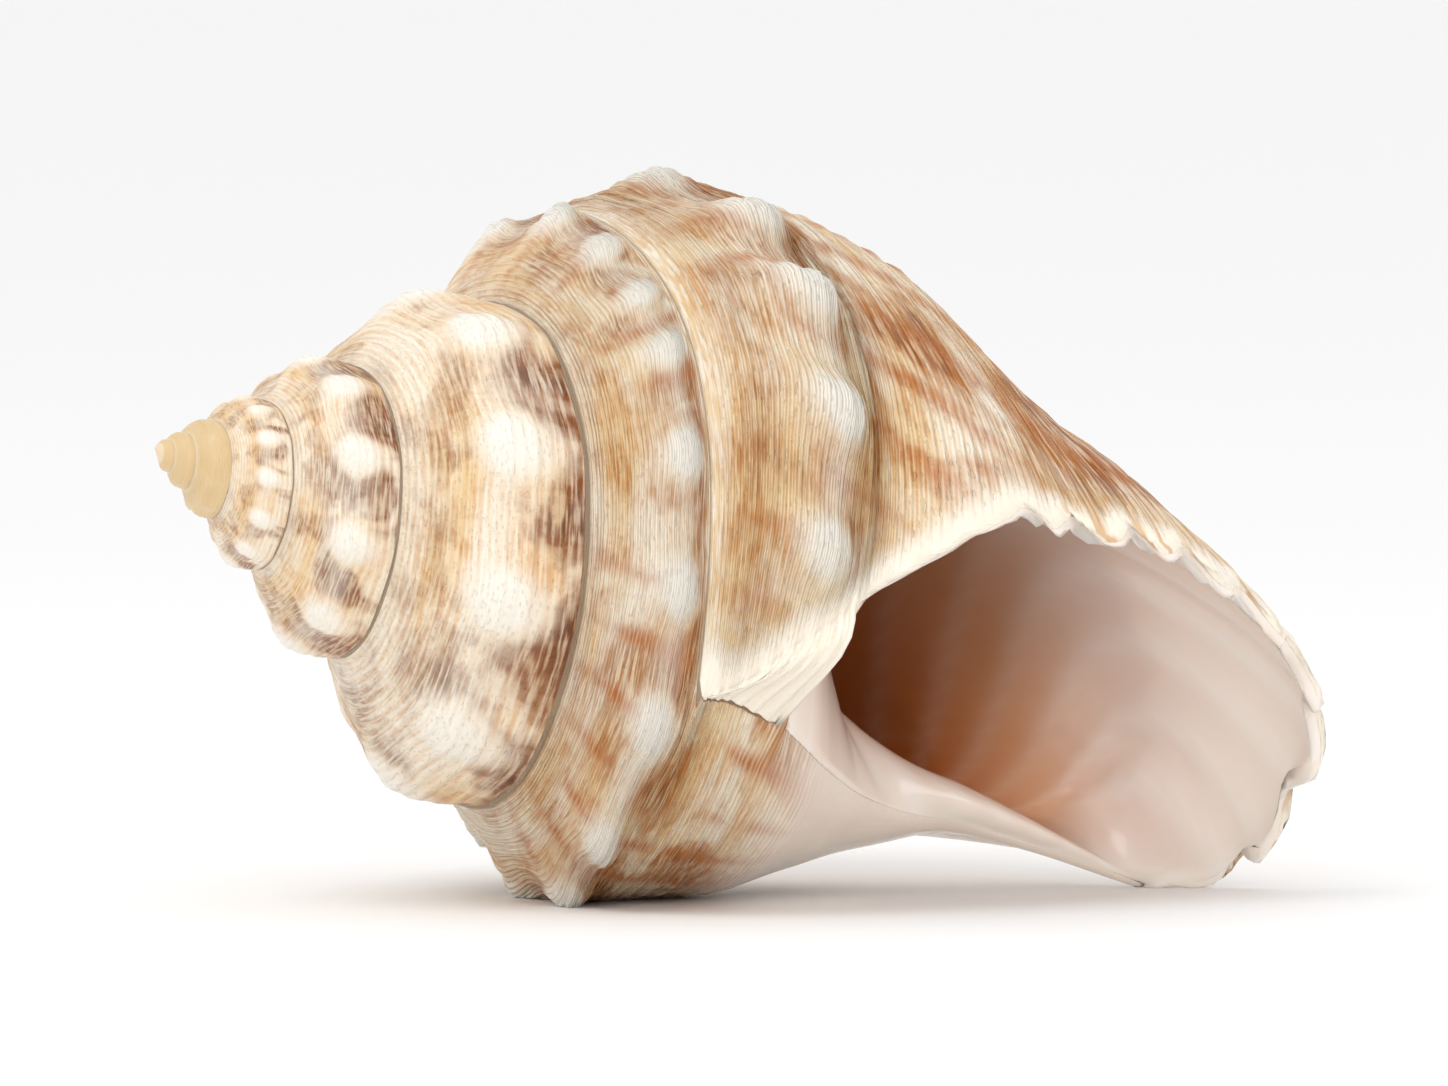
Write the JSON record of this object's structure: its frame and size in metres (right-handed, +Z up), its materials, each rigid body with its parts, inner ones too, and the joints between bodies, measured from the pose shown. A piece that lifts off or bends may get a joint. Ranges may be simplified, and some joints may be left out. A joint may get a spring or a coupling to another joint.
{
  "type": "knobbed spired sea-snail shell",
  "caption": "Knobbed sea-snail shell lying on its side, with a pointed spire, a wide flaring lip with a scalloped edge and an open mouth that narrows to a canal.",
  "frame": {"origin": "middle of the bounding box, at the surface the shell lies on", "axes": "+X from the spire's tip towards the canal, -Y towards the side that shows the lip and mouth, +Z up"},
  "size_m": [0.1174, 0.0758, 0.0732],
  "materials": {
    "shell": "satin, glossy inside the lip"
  },
  "bodies": {
    "root": {"shell": "shell"}
  },
  "joints": []
}
